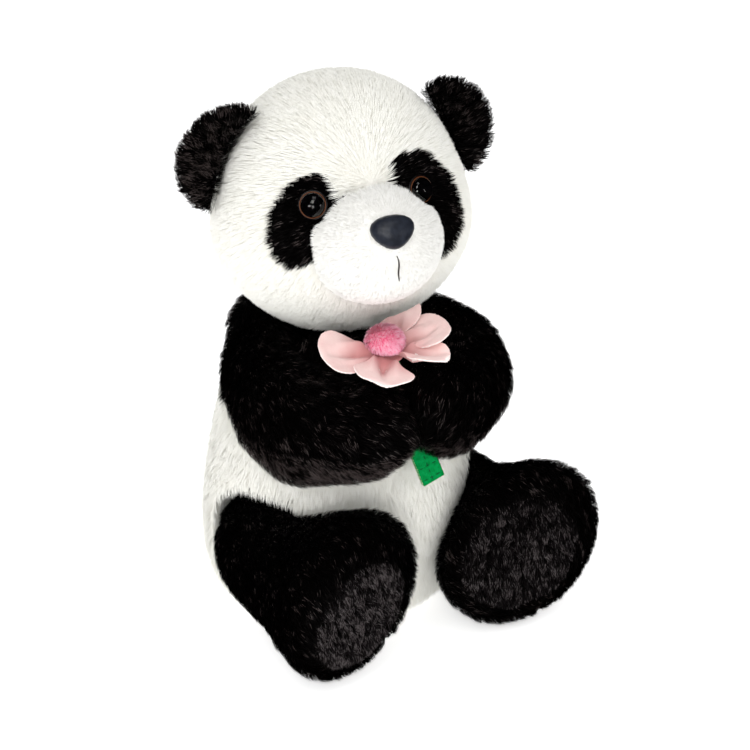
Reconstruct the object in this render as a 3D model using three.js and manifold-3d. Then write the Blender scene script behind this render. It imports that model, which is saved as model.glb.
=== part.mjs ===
// A seated plush panda hugging a felt flower, as its sewn panels, stuffing, safety eyes and nose.
// Millimetres, +Z up. The panda faces -Y, its left side is +X, and the origin is the middle of the
// flat seat that it sits on.
import * as THREE from "three";
import { mergeVertices } from "three/addons/utils/BufferGeometryUtils.js";
import Module from "manifold-3d";

const wasm = await Module();
wasm.setup();

// ---- Driving dimensions ----
const GAP = 0.3; // between pieces that touch
const PLAY = 1; // between pieces that move past each other
const CLOTH = 3; // plush cloth, backing and pressed pile together
const FELT = 1.2;
const FAR = 400; // half the side of a cutting block

const HEAD = { at: [0, -5, 206], radii: [61.5, 56, 62], yaw: -12, roll: -2, tilt: -9, neckHole: 17, jowl: 0.06 };
const GUSSET = { half: 20, front: 14, nape: -40 };
const MUZZLE = { at: [0, -49, -10], radii: [32, 30, 28.5], pile: 2 };
const EYE = { right: 27, left: 22.5, z: 11, r: 6.2, dome: 4, plate: 1.6 };
const SHANK = { r: 2, long: 13, washerR: 7.5, washerThick: 1.6, washerDepth: 7 };
const PATCH = { right: 29.5, left: 26.5, z: 3, long: 24, wide: 15, lean: -26 };
const NOSE = { z: 0, half: [10.2, 5, 8], taper: 0.28 };
const MOUTH = { top: -10, bottom: -25, r: 0.6 };
const EAR = { from: 28, right: 58, left: 56, y: -1, along: 28, up: 26, thick: 6, cup: 9, flex: 12, turn: 14 };

const TORSO = { wide: 68, deep: 0.9, belly: 5, top: 160 };
const TORSO_PROFILE = [[0, 0], [34, 0], [53, 3], [64, 17], [68, 40], [67.5, 64], [63.5, 88], [58.5, 112],
  [55.5, 134], [48, 151], [31, 159], [0, 160]]; // radius, height
const YOKE_EDGE = 108; // height of the seam between white body and black yoke
const SEAT_PANEL_TOP = 9;
const NECK = { r: 24, wall: 5, thick: 2.2, depth: 3.6, free: 5.4 };
const POUCH = { r: 40, high: 17 };
const TAIL = { at: [0, 60, 34], radii: [15, 15, 14] };

const ARM = { shoulder: [39, -6, 129], ball: 24, tall: [1, 1.16, 0.92], open: 35,
  right: [[48, -38, 121], [37, -63, 117], [18, -76, 127]],
  left: [[43, -38, 126], [29, -64, 119], [7, -74, 128]] };
const LEG = { ball: 32, spread: 30, soleBulge: 6,
  right: { hip: [-44, -20, 43], sole: [-45, -96, 39], yaw: 8, pitch: 4, roll: 42, broad: 0.96, long: 1.15, foot: 40 },
  left: { hip: [50, -18, 41], sole: [54, -82, 39.5], yaw: -9, pitch: -12, roll: 68, broad: 1.06, long: 1.28, foot: 34 } };

const FLOWER = { at: [-12, -67, 154], tilt: 12, lean: -6, centreR: 9.4, sway: 6 };
const PETAL = { long: 26.5, wide: 27, from: 5 };
const PETALS = [ // direction, share of the full width, lift at the tip, lengthwise fold
  { turn: 80, wide: 1, lift: 5, fold: 0.16 },
  { turn: 149, wide: 1, lift: 4, fold: 0.2 },
  { turn: 219, wide: 0.72, lift: 3, fold: 0.55 },
  { turn: 263, wide: 1, lift: 8, fold: 0.2 },
  { turn: 320, wide: 0.95, lift: 12, fold: 0.1 },
];
const STEM = { wide: 12, foot: [9, -77, 88] };
const PAWS_MEET = [-4, 0, 112];
const SWAY = { at: [1, -72, 112], axis: [0, -1, 0.1] };

// ---- Materials ----
const cloth = (color) => new THREE.MeshStandardMaterial({ color, roughness: 0.95, metalness: 0 });
const WHITE = cloth(0xf4f1e8);
const MUZZLE_WHITE = cloth(0xf8f6ef);
const BLACK = cloth(0x14110f);
const SOLE_BLACK = cloth(0x1c1817);
const STUFFING = cloth(0xe9e9e6);
const CANVAS = cloth(0xcfc8b6);
const PINK = cloth(0xf0c3c0);
const DEEP_PINK = cloth(0xf2709a);
const GREEN = cloth(0x0f9150);
const THREAD = cloth(0x231f1d);
const PLASTIC = new THREE.MeshStandardMaterial({ color: 0x2b3038, roughness: 0.35, metalness: 0 });
const EYE_BLACK = new THREE.MeshStandardMaterial({ color: 0x0a0808, roughness: 0.2, metalness: 0 });
const CLEAR = new THREE.MeshStandardMaterial({ color: 0xe8eef2, roughness: 0.03, metalness: 0 });
const WASHER = new THREE.MeshStandardMaterial({ color: 0xe6e6e2, roughness: 0.5, metalness: 0 });

// ---- Solids ----
const radians = THREE.MathUtils.degToRad;
const vec = (p) => new THREE.Vector3(...p);
const mirrored = (p) => [-p[0], p[1], p[2]];

function solid(geometry) {
  const bare = geometry.clone();
  bare.deleteAttribute("normal");
  bare.deleteAttribute("uv");
  const merged = mergeVertices(bare, 1e-3);
  const corners = merged.index.array;
  const kept = [];
  for (let i = 0; i < corners.length; i += 3) {
    const [a, b, c] = [corners[i], corners[i + 1], corners[i + 2]];
    if (a !== b && b !== c && c !== a) kept.push(a, b, c);
  }
  return new wasm.Manifold(new wasm.Mesh({
    numProp: 3,
    vertProperties: new Float32Array(merged.attributes.position.array),
    triVerts: new Uint32Array(kept),
  }));
}

function geometryOf(made) {
  const mesh = made.getMesh();
  return new THREE.BufferGeometry()
    .setAttribute("position", new THREE.BufferAttribute(mesh.vertProperties, 3))
    .setIndex(new THREE.BufferAttribute(mesh.triVerts, 1));
}

function block(x, y, z) {
  const box = new THREE.BoxGeometry(x[1] - x[0], y[1] - y[0], z[1] - z[0]);
  return solid(box.translate((x[0] + x[1]) / 2, (y[0] + y[1]) / 2, (z[0] + z[1]) / 2));
}

const ABOVE = (z) => block([-FAR, FAR], [-FAR, FAR], [z, FAR]);
const BELOW = (z) => block([-FAR, FAR], [-FAR, FAR], [-FAR, z]);
const FRONT = (y) => block([-FAR, FAR], [-FAR, y], [-FAR, FAR]);
const BACK = (y) => block([-FAR, FAR], [y, FAR], [-FAR, FAR]);
const RIGHT = (x) => block([-FAR, x], [-FAR, FAR], [-FAR, FAR]);
const LEFT = (x) => block([x, FAR], [-FAR, FAR], [-FAR, FAR]);

function ball(at, radii, around = 24, rings = 14) {
  return solid(new THREE.SphereGeometry(1, around, rings).scale(...radii).translate(...at));
}

function grown(radii, by) {
  return radii.map((r) => r + by);
}

// A coarse ball whose flats lie outside the round one, for the room left round a piece.
function roomBall(at, radii, by, around = 14, rings = 8) {
  const outside = 1 / Math.cos(Math.PI / around) / Math.cos(Math.PI / (2 * rings));
  return ball(at, grown(radii, by).map((r) => r * outside), around, rings);
}

// A round bar of radius r from a point along a direction.
function bar(at, direction, r, from, to, around = 12) {
  const rod = new THREE.CylinderGeometry(r, r, to - from, around).translate(0, (from + to) / 2, 0);
  rod.applyQuaternion(new THREE.Quaternion().setFromUnitVectors(new THREE.Vector3(0, 1, 0), vec(direction).normalize()));
  return solid(rod.translate(...at));
}

// Moves a solid by a matrix.
const moved = (made, matrix) => made.transform(matrix.elements);

// Turns a solid about an axis through a point.
function turned(made, at, axis, degrees) {
  const matrix = new THREE.Matrix4().makeTranslation(...at)
    .multiply(new THREE.Matrix4().makeRotationAxis(vec(axis).normalize(), radians(degrees)))
    .multiply(new THREE.Matrix4().makeTranslation(...at.map((v) => -v)));
  return moved(made, matrix);
}

// A lathe outline swept along a spine. The profile is [distance along the spine, radius], and oval
// gives the width, the height and the lift of the section at a distance. Inset shrinks it.
function stuffed({ spine, profile, oval, around = 20, rings = 14 }, inset = 0) {
  const length = spine.getLength();
  const line = new THREE.SplineCurve(profile.map(([s, r]) => new THREE.Vector2(r, s)));
  const points = line.getPoints(rings).map((p) => new THREE.Vector2(Math.max(p.x, 0), p.y));
  points[0].x = 0;
  points[rings].x = 0;
  const [low, high] = [points[0].y, points[rings].y];
  const widest = Math.max(...points.map((p) => p.x));
  const shrinkAcross = (widest - inset) / widest;
  const shrinkAlong = (high - low - 2 * inset) / (high - low);
  for (const p of points) {
    p.x *= shrinkAcross;
    p.y = (low + high) / 2 + (p.y - (low + high) / 2) * shrinkAlong;
  }
  const lathe = new THREE.LatheGeometry(points, around);
  const place = lathe.attributes.position;
  const [up, point] = [new THREE.Vector3(0, 0, 1), new THREE.Vector3()];
  for (let i = 0; i < place.count; i++) {
    const along = place.getY(i);
    const share = THREE.MathUtils.clamp(along / length, 0, 1);
    const tangent = spine.getTangentAt(share);
    const side = new THREE.Vector3().crossVectors(tangent, up).normalize();
    const rise = new THREE.Vector3().crossVectors(side, tangent);
    const [wide, tall, lift] = oval(share);
    point.copy(spine.getPointAt(share)).addScaledVector(tangent, along - share * length);
    point.addScaledVector(side, place.getX(i) * wide).addScaledVector(rise, place.getZ(i) * tall + lift);
    place.setXYZ(i, point.x, point.y, point.z);
  }
  return solid(lathe);
}

// The largest body of a solid.
const main = (made) => made.decompose().sort((a, b) => b.volume() - a.volume())[0];

// ---- The scene ----
const panda = new THREE.Group();

function add(group, name, made, material) {
  const mesh = new THREE.Mesh(geometryOf(made), material);
  mesh.name = name;
  group.add(mesh);
  return mesh;
}

function frameAt(at, [x, y, z]) {
  const group = new THREE.Group();
  group.position.set(...at);
  group.rotation.set(radians(x), radians(y), radians(z), "ZXY");
  panda.add(group);
  group.updateMatrixWorld(true);
  return group;
}

const toWorld = (group, made) => moved(made, group.matrixWorld);
const toLocal = (group, made) => moved(made, group.matrixWorld.clone().invert());

// ---- Torso ----
// The belly stands forward of the back, most at a third of its height.
function torsoForm(inset, around = 24, rings = 14) {
  const scale = (TORSO.wide - inset) / TORSO.wide;
  const line = new THREE.SplineCurve(TORSO_PROFILE.map(([r, z]) => new THREE.Vector2(r, z)));
  const points = line.getPoints(rings).map((p) => new THREE.Vector2(Math.max(p.x, 0) * scale,
    THREE.MathUtils.clamp(p.y, 0, TORSO.top) * (TORSO.top - 2 * inset) / TORSO.top + inset));
  points[0].x = 0;
  points[rings].x = 0;
  const lathe = new THREE.LatheGeometry(points, around).rotateX(Math.PI / 2);
  const place = lathe.attributes.position;
  for (let i = 0; i < place.count; i++) {
    const z = place.getZ(i);
    const forward = TORSO.belly * Math.sin(Math.PI * THREE.MathUtils.clamp(z / TORSO.top, 0, 1));
    place.setXYZ(i, place.getX(i), place.getY(i) * TORSO.deep - forward, z);
  }
  return solid(lathe);
}

// The hollow that the head turns in: the head's form swept by its yaw, with room for the neck ring.
const sweep = [HEAD.radii[0], HEAD.radii[0], HEAD.radii[2] + 1];
const headDish = (room) => roomBall(HEAD.at, sweep, room, 20, 12);
const sides = [["right", -1], ["left", 1]];
const shoulderOf = (side) => [side * ARM.shoulder[0], ARM.shoulder[1], ARM.shoulder[2]];
const hipOf = (name) => LEG[name].hip;
const socket = (at, r) => roomBall(at, [r, r, r], 0);

function sockets(room) {
  const found = sides.map(([name, side]) => socket(shoulderOf(side), ARM.ball + room)
    .add(socket(hipOf(name), LEG.ball + room)));
  return found[0].add(found[1]);
}

const neckRoom = roomBall(HEAD.at, sweep, NECK.free, 20, 12)
  .intersect(bar([0, HEAD.at[1], 0], [0, 0, 1], NECK.r + NECK.wall + PLAY, 0, HEAD.at[2], 20));
const hollows = headDish(PLAY).add(sockets(2 * PLAY)).add(neckRoom);

function makeTorso() {
  const outer = torsoForm(0);
  const shell = outer.subtract(torsoForm(CLOTH, 16, 10)).subtract(hollows);
  const white = shell.intersect(BELOW(YOKE_EDGE));
  const yoke = shell.intersect(ABOVE(YOKE_EDGE + GAP));
  const sideSeam = 6;
  const raised = white.intersect(ABOVE(SEAT_PANEL_TOP + GAP));
  const back = raised.intersect(BACK(sideSeam + GAP));
  add(panda, "seat_panel", white.intersect(BELOW(SEAT_PANEL_TOP)), WHITE);
  add(panda, "belly_panel", main(raised.intersect(FRONT(sideSeam))), WHITE);
  add(panda, "back_panel_right", main(back.intersect(RIGHT(-GAP / 2))), WHITE);
  add(panda, "back_panel_left", main(back.intersect(LEFT(GAP / 2))), WHITE);
  add(panda, "yoke_front", main(yoke.intersect(FRONT(sideSeam))), BLACK);
  add(panda, "yoke_back", main(yoke.intersect(BACK(sideSeam + GAP))), BLACK);

  const filling = torsoForm(CLOTH + 2 * PLAY, 12, 8).subtract(headDish(NECK.free)).subtract(sockets(2 * PLAY));
  const split = CLOTH + GAP + POUCH.high;
  add(panda, "torso_stuffing", filling.intersect(ABOVE(split + GAP)), STUFFING);
  const pouch = bar([0, -TORSO.belly / 2, 0], [0, 0, 1], POUCH.r, CLOTH + GAP, split, 20);
  add(panda, "pellet_pouch", pouch.intersect(filling).subtract(sockets(2 * PLAY + GAP)), CANVAS);

  const tail = ball(TAIL.at, TAIL.radii, 14, 9).subtract(torsoForm(-GAP));
  add(panda, "tail", tail, WHITE);
}

// The gathered ring of cloth that the head is sewn to. Its top follows the head.
function makeNeck() {
  const wall = bar([0, HEAD.at[1], 0], [0, 0, 1], NECK.r, 0, HEAD.at[2], 24)
    .subtract(bar([0, HEAD.at[1], 0], [0, 0, 1], NECK.r - NECK.wall, 0, HEAD.at[2], 24));
  const layer = headDish(NECK.depth - GAP).subtract(headDish(NECK.depth - GAP - NECK.thick));
  add(panda, "neck_ring", wall.intersect(layer).intersect(BELOW(HEAD.at[2] - 20)), BLACK);
}

// ---- Head ----
const head = frameAt(HEAD.at, [HEAD.tilt, HEAD.roll, HEAD.yaw]);

// How much wider the head is than an ellipsoid at a share of its half height.
const jowled = (share) => 1 - HEAD.jowl * Math.sin(Math.PI * share) * (1 - share ** 2);

// An egg, wider at the jowls than at the crown.
function headForm(by, around = 26, rings = 16) {
  const form = new THREE.SphereGeometry(1, around, rings).rotateX(Math.PI / 2);
  const place = form.attributes.position;
  for (let i = 0; i < place.count; i++) {
    place.setXY(i, place.getX(i) * jowled(place.getZ(i)), place.getY(i) * jowled(place.getZ(i)));
  }
  return solid(form.scale(...grown(HEAD.radii, by)));
}

// How far forward the head's or the muzzle's surface is at x and z.
function frontOf(radii, at, x, z) {
  const left = 1 - ((x - at[0]) / radii[0]) ** 2 - ((z - at[2]) / radii[2]) ** 2;
  return at[1] - radii[1] * Math.sqrt(Math.max(left, 0));
}

function headFrontOf(x, z) {
  const wider = jowled(z / HEAD.radii[2]);
  return frontOf([HEAD.radii[0] * wider, HEAD.radii[1] * wider, HEAD.radii[2]], [0, 0, 0], x, z);
}

function patchPrism(side, by) {
  const outline = new THREE.Shape().absellipse(0, 0, PATCH.wide + by, PATCH.long + by, 0, 2 * Math.PI);
  const prism = new THREE.ExtrudeGeometry(outline, { depth: FAR, bevelEnabled: false, curveSegments: 9 });
  prism.rotateZ(radians(-side * PATCH.lean)).rotateX(Math.PI / 2);
  return solid(prism.translate(side * (side < 0 ? PATCH.right : PATCH.left), 0, PATCH.z));
}

// The plate and shank of a safety eye or nose, its washer and the pocket for both in the stuffing.
function shankAt(at, out) {
  const { r, long, washerR, washerThick, washerDepth } = SHANK;
  return {
    shank: bar(at, out, r, -long, 0.5),
    hole: bar(at, out, r + GAP, -long - 1, 3),
    washer: bar(at, out, washerR, -washerDepth - washerThick, -washerDepth, 16)
      .subtract(bar(at, out, r + GAP, -long, 1)),
    pocket: bar(at, out, washerR + PLAY, -long - 1, 1, 16),
  };
}

const eyes = sides.map(([name, side]) => {
  const at = [side * EYE[name], headFrontOf(EYE[name], EYE.z) - PLAY, EYE.z];
  const out = at.map((v, i) => v / HEAD.radii[i] ** 2);
  return { name, side, at, out, parts: shankAt(at, out) };
});
const noseAt = [0, frontOf(MUZZLE.radii, MUZZLE.at, 0, NOSE.z) - GAP, NOSE.z];
const noseOut = [0, -1, 0.3];
const noseParts = shankAt(noseAt, noseOut);

function makeHead() {
  const neckHole = bar([0, 0, 0], [0, 0, -1], HEAD.neckHole, 0, FAR, 16);
  const shell = headForm(0).subtract(headForm(-CLOTH, 16, 10)).subtract(neckHole);
  const muzzleHole = ball(MUZZLE.at, grown(MUZZLE.radii, -8), 18, 12);
  const strip = block([-GUSSET.half, GUSSET.half], [-FAR, FAR], [GUSSET.front, FAR])
    .add(block([-GUSSET.half, GUSSET.half], [0, FAR], [GUSSET.nape, FAR]));
  const stripRoom = block([-GUSSET.half - GAP, GUSSET.half + GAP], [-FAR, FAR], [GUSSET.front - GAP, FAR])
    .add(block([-GUSSET.half - GAP, GUSSET.half + GAP], [-GAP, FAR], [GUSSET.nape - GAP, FAR]));
  const patches = patchPrism(-1, GAP).add(patchPrism(1, GAP));
  const panels = shell.subtract(muzzleHole);
  add(head, "head_gusset", panels.intersect(strip).subtract(patches), WHITE);
  const cheeks = panels.subtract(stripRoom).subtract(patches);
  add(head, "cheek_right", main(cheeks.intersect(RIGHT(-GAP / 2))), WHITE);
  add(head, "cheek_left", main(cheeks.intersect(LEFT(GAP / 2))), WHITE);
  for (const { name, side, parts } of eyes) {
    const patch = panels.intersect(FRONT(-10)).intersect(patchPrism(side, 0)).subtract(parts.hole);
    add(head, "eye_patch_" + name, patch, BLACK);
  }
  let filling = headForm(-CLOTH - 2 * GAP, 16, 10);
  for (const { parts } of eyes) filling = filling.subtract(parts.pocket);
  add(head, "head_stuffing", filling.subtract(noseParts.pocket), STUFFING);
}

function makeMuzzle() {
  const outside = ball(MUZZLE.at, MUZZLE.radii, 24, 14).subtract(headForm(GAP));
  const inner = ball(MUZZLE.at, grown(MUZZLE.radii, -MUZZLE.pile - 2 * GAP), 14, 9);
  const skin = outside.subtract(ball(MUZZLE.at, grown(MUZZLE.radii, -MUZZLE.pile), 14, 9));
  const beside = eyes.map(({ at, out }) => bar(at, out, EYE.r + PLAY, -3, 12, 16));
  const clear = (made) => main(made.subtract(beside[0]).subtract(beside[1]));
  add(head, "muzzle", clear(skin.subtract(noseParts.hole)), MUZZLE_WHITE);
  add(head, "muzzle_stuffing", clear(inner.subtract(headForm(2 * GAP)).subtract(noseParts.pocket)), STUFFING);
}

// A safety eye: a black plate on a shank under a clear dome, with an amber ring at its edge.
function makeEyes() {
  for (const { name, side, at, out, parts } of eyes) {
    const plate = bar(at, out, EYE.r, 0, EYE.plate, 24).add(parts.shank);
    add(head, "eye_plate_" + name, plate, EYE_BLACK);
    const dome = [];
    for (let i = 0; i <= 5; i++) {
      const angle = (i / 5) * (Math.PI / 2);
      dome.push(new THREE.Vector2(EYE.r * Math.cos(angle), EYE.plate + GAP + EYE.dome * Math.sin(angle)));
    }
    dome[5].x = 0;
    const lens = new THREE.LatheGeometry([new THREE.Vector2(0, EYE.plate + GAP), ...dome], 20);
    lens.applyQuaternion(new THREE.Quaternion().setFromUnitVectors(new THREE.Vector3(0, 1, 0), vec(out).normalize()));
    add(head, "eye_dome_" + name, solid(lens.translate(...at)), CLEAR);
    add(head, "eye_washer_" + name, parts.washer, WASHER);
  }
}

// A rounded triangle, wide at the top, flat behind.
function makeNose() {
  const form = new THREE.SphereGeometry(1, 18, 10);
  const place = form.attributes.position;
  for (let i = 0; i < place.count; i++) {
    const [x, y, z] = [place.getX(i), place.getY(i), place.getZ(i)];
    place.setXYZ(i, x * NOSE.half[0] * (1 + NOSE.taper * z), y * NOSE.half[1] * 1.25, z * NOSE.half[2]);
  }
  form.rotateX(Math.atan2(noseOut[2], 1) * -1).translate(...noseAt);
  const half = solid(form).subtract(ball(MUZZLE.at, grown(MUZZLE.radii, 2 * GAP), 24, 14));
  const front = half.intersect(FRONT(noseAt[1] + 3)).subtract(BACK(noseAt[1] + 4));
  const button = main(front);
  add(head, "nose", button.add(noseParts.shank), PLASTIC);
  add(head, "nose_washer", noseParts.washer, WASHER);
}

// One satin stitch down the muzzle from the nose.
function makeMouth() {
  const points = [];
  const steps = 6;
  for (let i = 0; i <= steps; i++) {
    const z = THREE.MathUtils.lerp(MOUTH.top, MOUTH.bottom, i / steps);
    const clear = MOUTH.r + GAP + 0.15;
    points.push(new THREE.Vector3(0.5 * Math.sin(3 * i / steps), frontOf(grown(MUZZLE.radii, clear), MUZZLE.at, 0, z), z));
  }
  const round = new THREE.Shape().absarc(0, 0, MOUTH.r, 0, 2 * Math.PI);
  const path = new THREE.CatmullRomCurve3(points);
  add(head, "mouth_stitch", solid(new THREE.ExtrudeGeometry(round, {
    extrudePath: path, steps: 12, curveSegments: 3 })), THREAD);
}

// Two cupped panels back to back, sewn at the rim and set into the head's side. The hinge lies on the
// head's surface, so the root is cut back by the head at both ends of the ear's flex.
function makeEars() {
  for (const [name, side] of sides) {
    const angle = radians(EAR.from);
    const centre = [side * EAR[name] * Math.cos(angle), EAR.y, EAR[name] * Math.sin(angle) + 2];
    const hinge = [side * Math.sin(angle), 0, -Math.cos(angle)];
    let room = headForm(PLAY, 20, 12);
    const pivot = [side * 59 * Math.cos(angle), 4, 59 * Math.sin(angle)];
    for (const flex of [-EAR.flex, EAR.flex]) room = room.add(turned(headForm(PLAY, 20, 12), pivot, hinge, flex));
    for (const [panel, facing] of [["front", -1], ["back", 1]]) {
      const profile = [new THREE.Vector2(0, GAP / 2)];
      for (let i = 0; i <= 4; i++) {
        const turn = (i / 4) * (Math.PI / 2);
        profile.push(new THREE.Vector2(Math.cos(turn), GAP / 2 + EAR.thick * Math.sin(turn)));
      }
      profile[5].x = 0;
      const form = new THREE.LatheGeometry(profile, 20);
      if (facing < 0) form.rotateX(Math.PI);
      const place = form.attributes.position;
      for (let i = 0; i < place.count; i++) {
        const [x, y, z] = [place.getX(i), place.getY(i), place.getZ(i)];
        place.setXYZ(i, x * EAR.along, y - EAR.cup * (x * x + z * z), z * EAR.up);
      }
      form.rotateZ(radians(side * EAR.turn)).rotateY(side * (Math.PI / 2 - angle)).translate(...centre);
      const cut = main(solid(form).subtract(room));
      add(head, "ear_" + name + "_" + panel, cut, BLACK);
    }
  }
}

// ---- Flower ----
const flower = frameAt(FLOWER.at, [FLOWER.tilt, FLOWER.lean, 0]);

function stemLine() {
  const foot = vec(STEM.foot);
  flower.worldToLocal(foot);
  return { top: new THREE.Vector3(0, 0, -3.2), foot };
}

// A flat strip of felt from the flower's base down to the stem's foot. Layer 0 is the front one.
function stemStrip(layer, grow = 0) {
  const { top, foot } = stemLine();
  const along = foot.clone().sub(top);
  const length = along.length();
  const strip = new THREE.BoxGeometry(STEM.wide + 2 * grow, FELT + 2 * grow, length + 2 * grow);
  strip.translate(0, (layer - 0.5) * (FELT + GAP), -length / 2);
  const down = new THREE.Quaternion().setFromUnitVectors(new THREE.Vector3(0, 0, -1), along.normalize());
  return solid(strip.applyQuaternion(down).translate(...top.toArray()));
}

function petalOutline(share) {
  const [long, wide] = [PETAL.long, PETAL.wide * share];
  const outline = new THREE.Shape();
  outline.moveTo(-2.6, 0);
  outline.bezierCurveTo(-4, long * 0.25, -wide * 0.62, long * 0.45, -wide * 0.5, long * 0.72);
  outline.bezierCurveTo(-wide * 0.4, long * 1.08, wide * 0.4, long * 1.08, wide * 0.5, long * 0.72);
  outline.bezierCurveTo(wide * 0.62, long * 0.45, 4, long * 0.25, 2.6, 0);
  return outline;
}

// A cut felt petal, folded a little along its middle and lifted at the tip. Each steps over the next.
function petal({ turn, wide, lift, fold }) {
  const form = new THREE.ExtrudeGeometry(petalOutline(wide), { depth: FELT, bevelEnabled: false, curveSegments: 9 });
  const place = form.attributes.position;
  for (let i = 0; i < place.count; i++) {
    const [x, y, z] = [place.getX(i), place.getY(i), place.getZ(i)];
    place.setXYZ(i, x, y + PETAL.from, z + lift * (y / PETAL.long) ** 2 + fold * Math.abs(x) + 0.17 * x);
  }
  return moved(solid(form), new THREE.Matrix4().makeRotationZ(radians(turn)));
}

function makeFlower() {
  const base = bar([0, 0, 0], [0, 0, 1], 7, -2.4, -GAP, 16);
  const dish = headDish(PLAY);
  const swung = [-FLOWER.sway, FLOWER.sway].map((angle) => turned(dish, SWAY.at, SWAY.axis, angle));
  let taken = base.add(toLocal(flower, dish.add(swung[0]).add(swung[1])));
  const petals = [];
  for (const shape of PETALS) {
    const made = main(petal(shape).subtract(taken));
    petals.push(made);
    taken = taken.add(made).add(moved(made, new THREE.Matrix4().makeTranslation(0, 0, GAP)));
  }
  petals.forEach((made, i) => add(flower, "petal_" + (i + 1), made, PINK));
  const puff = ball([0, 0, 6.6], [FLOWER.centreR, FLOWER.centreR, FLOWER.centreR * 0.8], 16, 10);
  const peg = bar([0, 0, 0], [0, 0, 1], 3.6, 0, 6);
  add(flower, "flower_centre", puff.intersect(ABOVE(4.4)).add(peg), DEEP_PINK);
  add(flower, "flower_base", base, GREEN);
  add(flower, "stem_front", stemStrip(0).intersect(BELOW(-2.4 - GAP)), GREEN);
  add(flower, "stem_back", stemStrip(1).intersect(BELOW(-2.4 - GAP)), GREEN);
}

// ---- Arms ----
function armForm(side, inset, around, rings) {
  const at = (p) => vec([side * p[0], p[1], p[2]]);
  const spine = new THREE.CatmullRomCurve3([ARM.shoulder, ...ARM[side < 0 ? "right" : "left"]].map(at));
  const length = spine.getLength();
  const profile = [[-24, 0], [-20, 13], [-10, 22], [2, 24], [28, 25.5], [54, 27], [length, 25],
    [length + 12, 20], [length + 17, 11], [length + 18, 0]];
  const [root, middle, tip] = ARM.tall;
  const tall = (share) => share < 0.55 ? THREE.MathUtils.lerp(root, middle, share / 0.55)
    : THREE.MathUtils.lerp(middle, tip, (share - 0.55) / 0.45);
  return stuffed({ spine, profile, oval: (share) => [1, tall(share), 0], around, rings }, inset);
}

// Everything the flower fills as it sways, with play round it.
function flowerRoom() {
  const strip = stemStrip(0, PLAY).add(stemStrip(1, PLAY));
  const reach = PETAL.long + PETAL.from + PLAY;
  const blossom = solid(new THREE.CylinderGeometry(reach, 9, 14, 12).rotateX(Math.PI / 2).translate(0, 0, 4.5));
  const still = toWorld(flower, strip.add(blossom));
  const swung = [-FLOWER.sway, FLOWER.sway].map((angle) => turned(still, SWAY.at, SWAY.axis, angle));
  return still.add(swung[0]).add(swung[1]);
}

function makeArms() {
  const keepOut = torsoForm(-2 * PLAY, 18, 11).subtract(sockets(GAP));
  const taken = keepOut.add(headDish(PLAY)).add(flowerRoom());
  const lean = Math.atan2(STEM.foot[0] - FLOWER.at[0], FLOWER.at[2] - STEM.foot[2]);
  for (const [name, side] of sides) {
    let passed = neckRoom;
    for (const part of [0.25, 0.5, 0.75, 1]) {
      passed = passed.add(turned(keepOut.add(neckRoom), shoulderOf(side), [0, 0, 1], -side * part * ARM.open));
    }
    const half = side < 0 ? RIGHT(-PLAY / 2) : LEFT(PLAY / 2);
    const mine = turned(half, [0, 0, 0], [0, 1, 0], -THREE.MathUtils.radToDeg(lean))
      .translate(PAWS_MEET);
    const shape = (made) => main(made.intersect(mine).subtract(taken).subtract(passed));
    const skin = shape(armForm(side, 0, 18, 13).subtract(armForm(side, CLOTH, 10, 8)));
    const seam = ARM.left[1][2] - 4;
    add(panda, "arm_" + name + "_upper", main(skin.intersect(ABOVE(seam + GAP))), BLACK);
    add(panda, "arm_" + name + "_under", main(skin.intersect(BELOW(seam))), BLACK);
    add(panda, "arm_" + name + "_stuffing", shape(armForm(side, CLOTH + PLAY, 10, 8)), STUFFING);
  }
}

// ---- Legs ----
// A leg is shaped in the frame of its sole, which faces -Y with the toe up.
function legForm(spine, { broad, long, foot: footLength }, inset, around, rings) {
  const length = spine.getLength();
  const foot = length - footLength;
  const profile = [[-32, 0], [-28, 14], [-15, 27], [2, 32], [foot * 0.6, 32], [foot + 6, 33], [foot + 22, 37],
    [length - 7, 36], [length + 1, 31.5], [length + 5, 18], [length + LEG.soleBulge, 0]];
  const oval = (share) => {
    const toe = THREE.MathUtils.smoothstep(share, 0.35, 0.75);
    const instep = toe - THREE.MathUtils.smoothstep(share, 0.8, 1);
    return [1 + (broad - 1) * toe, 1 + (long - 1) * toe, 2 * toe + 6 * instep];
  };
  return stuffed({ spine, profile, oval, around, rings }, inset);
}

function makeLegs() {
  for (const [name, side] of sides) {
    const { hip, sole, yaw, pitch, roll } = LEG[name];
    const form = (...detail) => legForm(spine, LEG[name], ...detail);
    const leg = frameAt(sole, [pitch, roll, yaw]);
    const back = leg.worldToLocal(vec(hip));
    const heel = new THREE.Vector3(0, 0.6 * LEG[name].foot, 0);
    const spine = new THREE.QuadraticBezierCurve3(back, heel, new THREE.Vector3(0, 0, 0));
    const body = torsoForm(-3 * PLAY, 16, 10).subtract(socket(hip, LEG.ball + GAP));
    let room = BELOW(0);
    for (const part of [0, 0.5, 1]) room = room.add(turned(body, hip, [0, 0, 1], -side * part * LEG.spread));
    room = toLocal(leg, room);
    const shape = (made) => main(made.subtract(room));
    const shell = shape(form(0, 18, 12).subtract(form(CLOTH, 12, 8)));
    const wall = shell.intersect(BACK(-1 + GAP));
    add(leg, "sole_" + name, main(shell.intersect(FRONT(-1))), SOLE_BLACK);
    add(leg, "leg_" + name + "_upper", main(wall.intersect(ABOVE(GAP / 2))), BLACK);
    add(leg, "leg_" + name + "_under", main(wall.intersect(BELOW(-GAP / 2))), BLACK);
    add(leg, "leg_" + name + "_stuffing", shape(form(CLOTH + PLAY, 12, 8)), STUFFING);
  }
}

makeTorso();
makeNeck();
makeHead();
makeMuzzle();
makeEyes();
makeNose();
makeMouth();
makeEars();
makeFlower();
makeArms();
makeLegs();

export default panda;
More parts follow.
